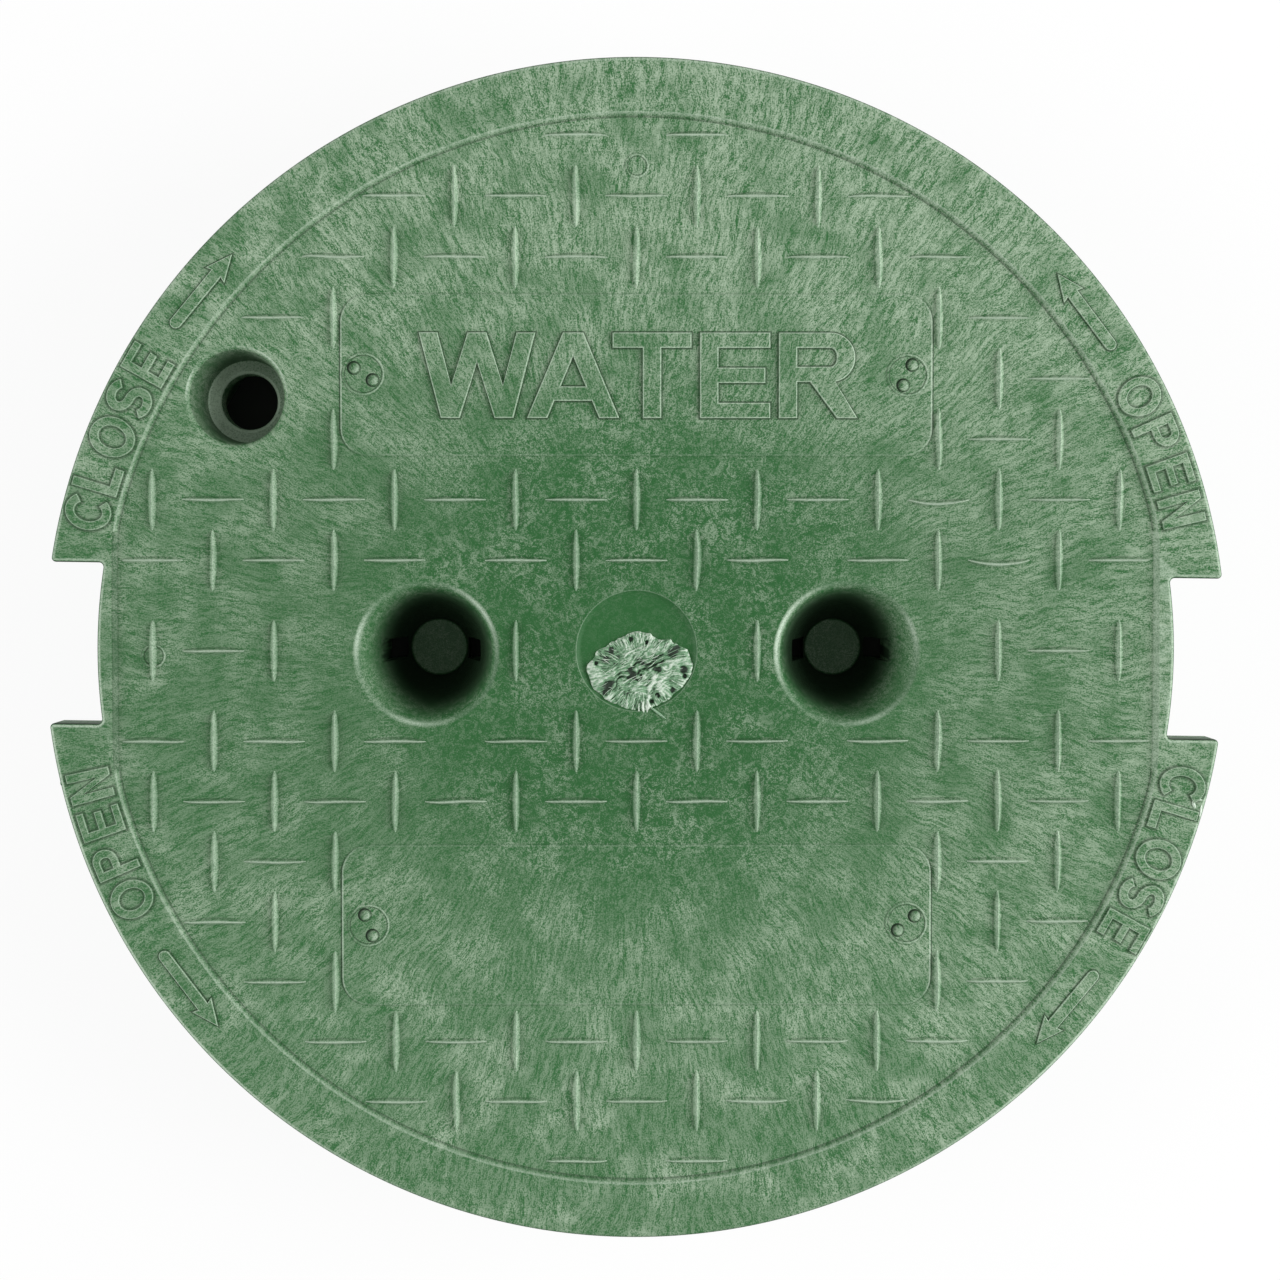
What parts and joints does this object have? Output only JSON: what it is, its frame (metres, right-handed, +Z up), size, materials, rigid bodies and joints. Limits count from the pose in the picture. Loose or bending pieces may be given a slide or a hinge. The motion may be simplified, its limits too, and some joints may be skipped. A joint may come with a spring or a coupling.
{
  "type": "valve box cover",
  "caption": "Round moulded valve box cover with raised tread bars, deep key cups, a bolt recess and lug notches, dropped into a box mouth and turned to lock.",
  "frame": {"origin": "centre of the cover's plan, at the level the skirt stands on", "axes": "+Z up out of the tread, +X along the line of the key cups towards the cup away from the bolt recess"},
  "size_m": [0.2774, 0.2794, 0.0381],
  "materials": {
    "moulding": "matt green structural-foam polyethylene with pale flow streaks"
  },
  "bodies": {
    "root": {"cover": "moulding"}
  },
  "joints": []
}
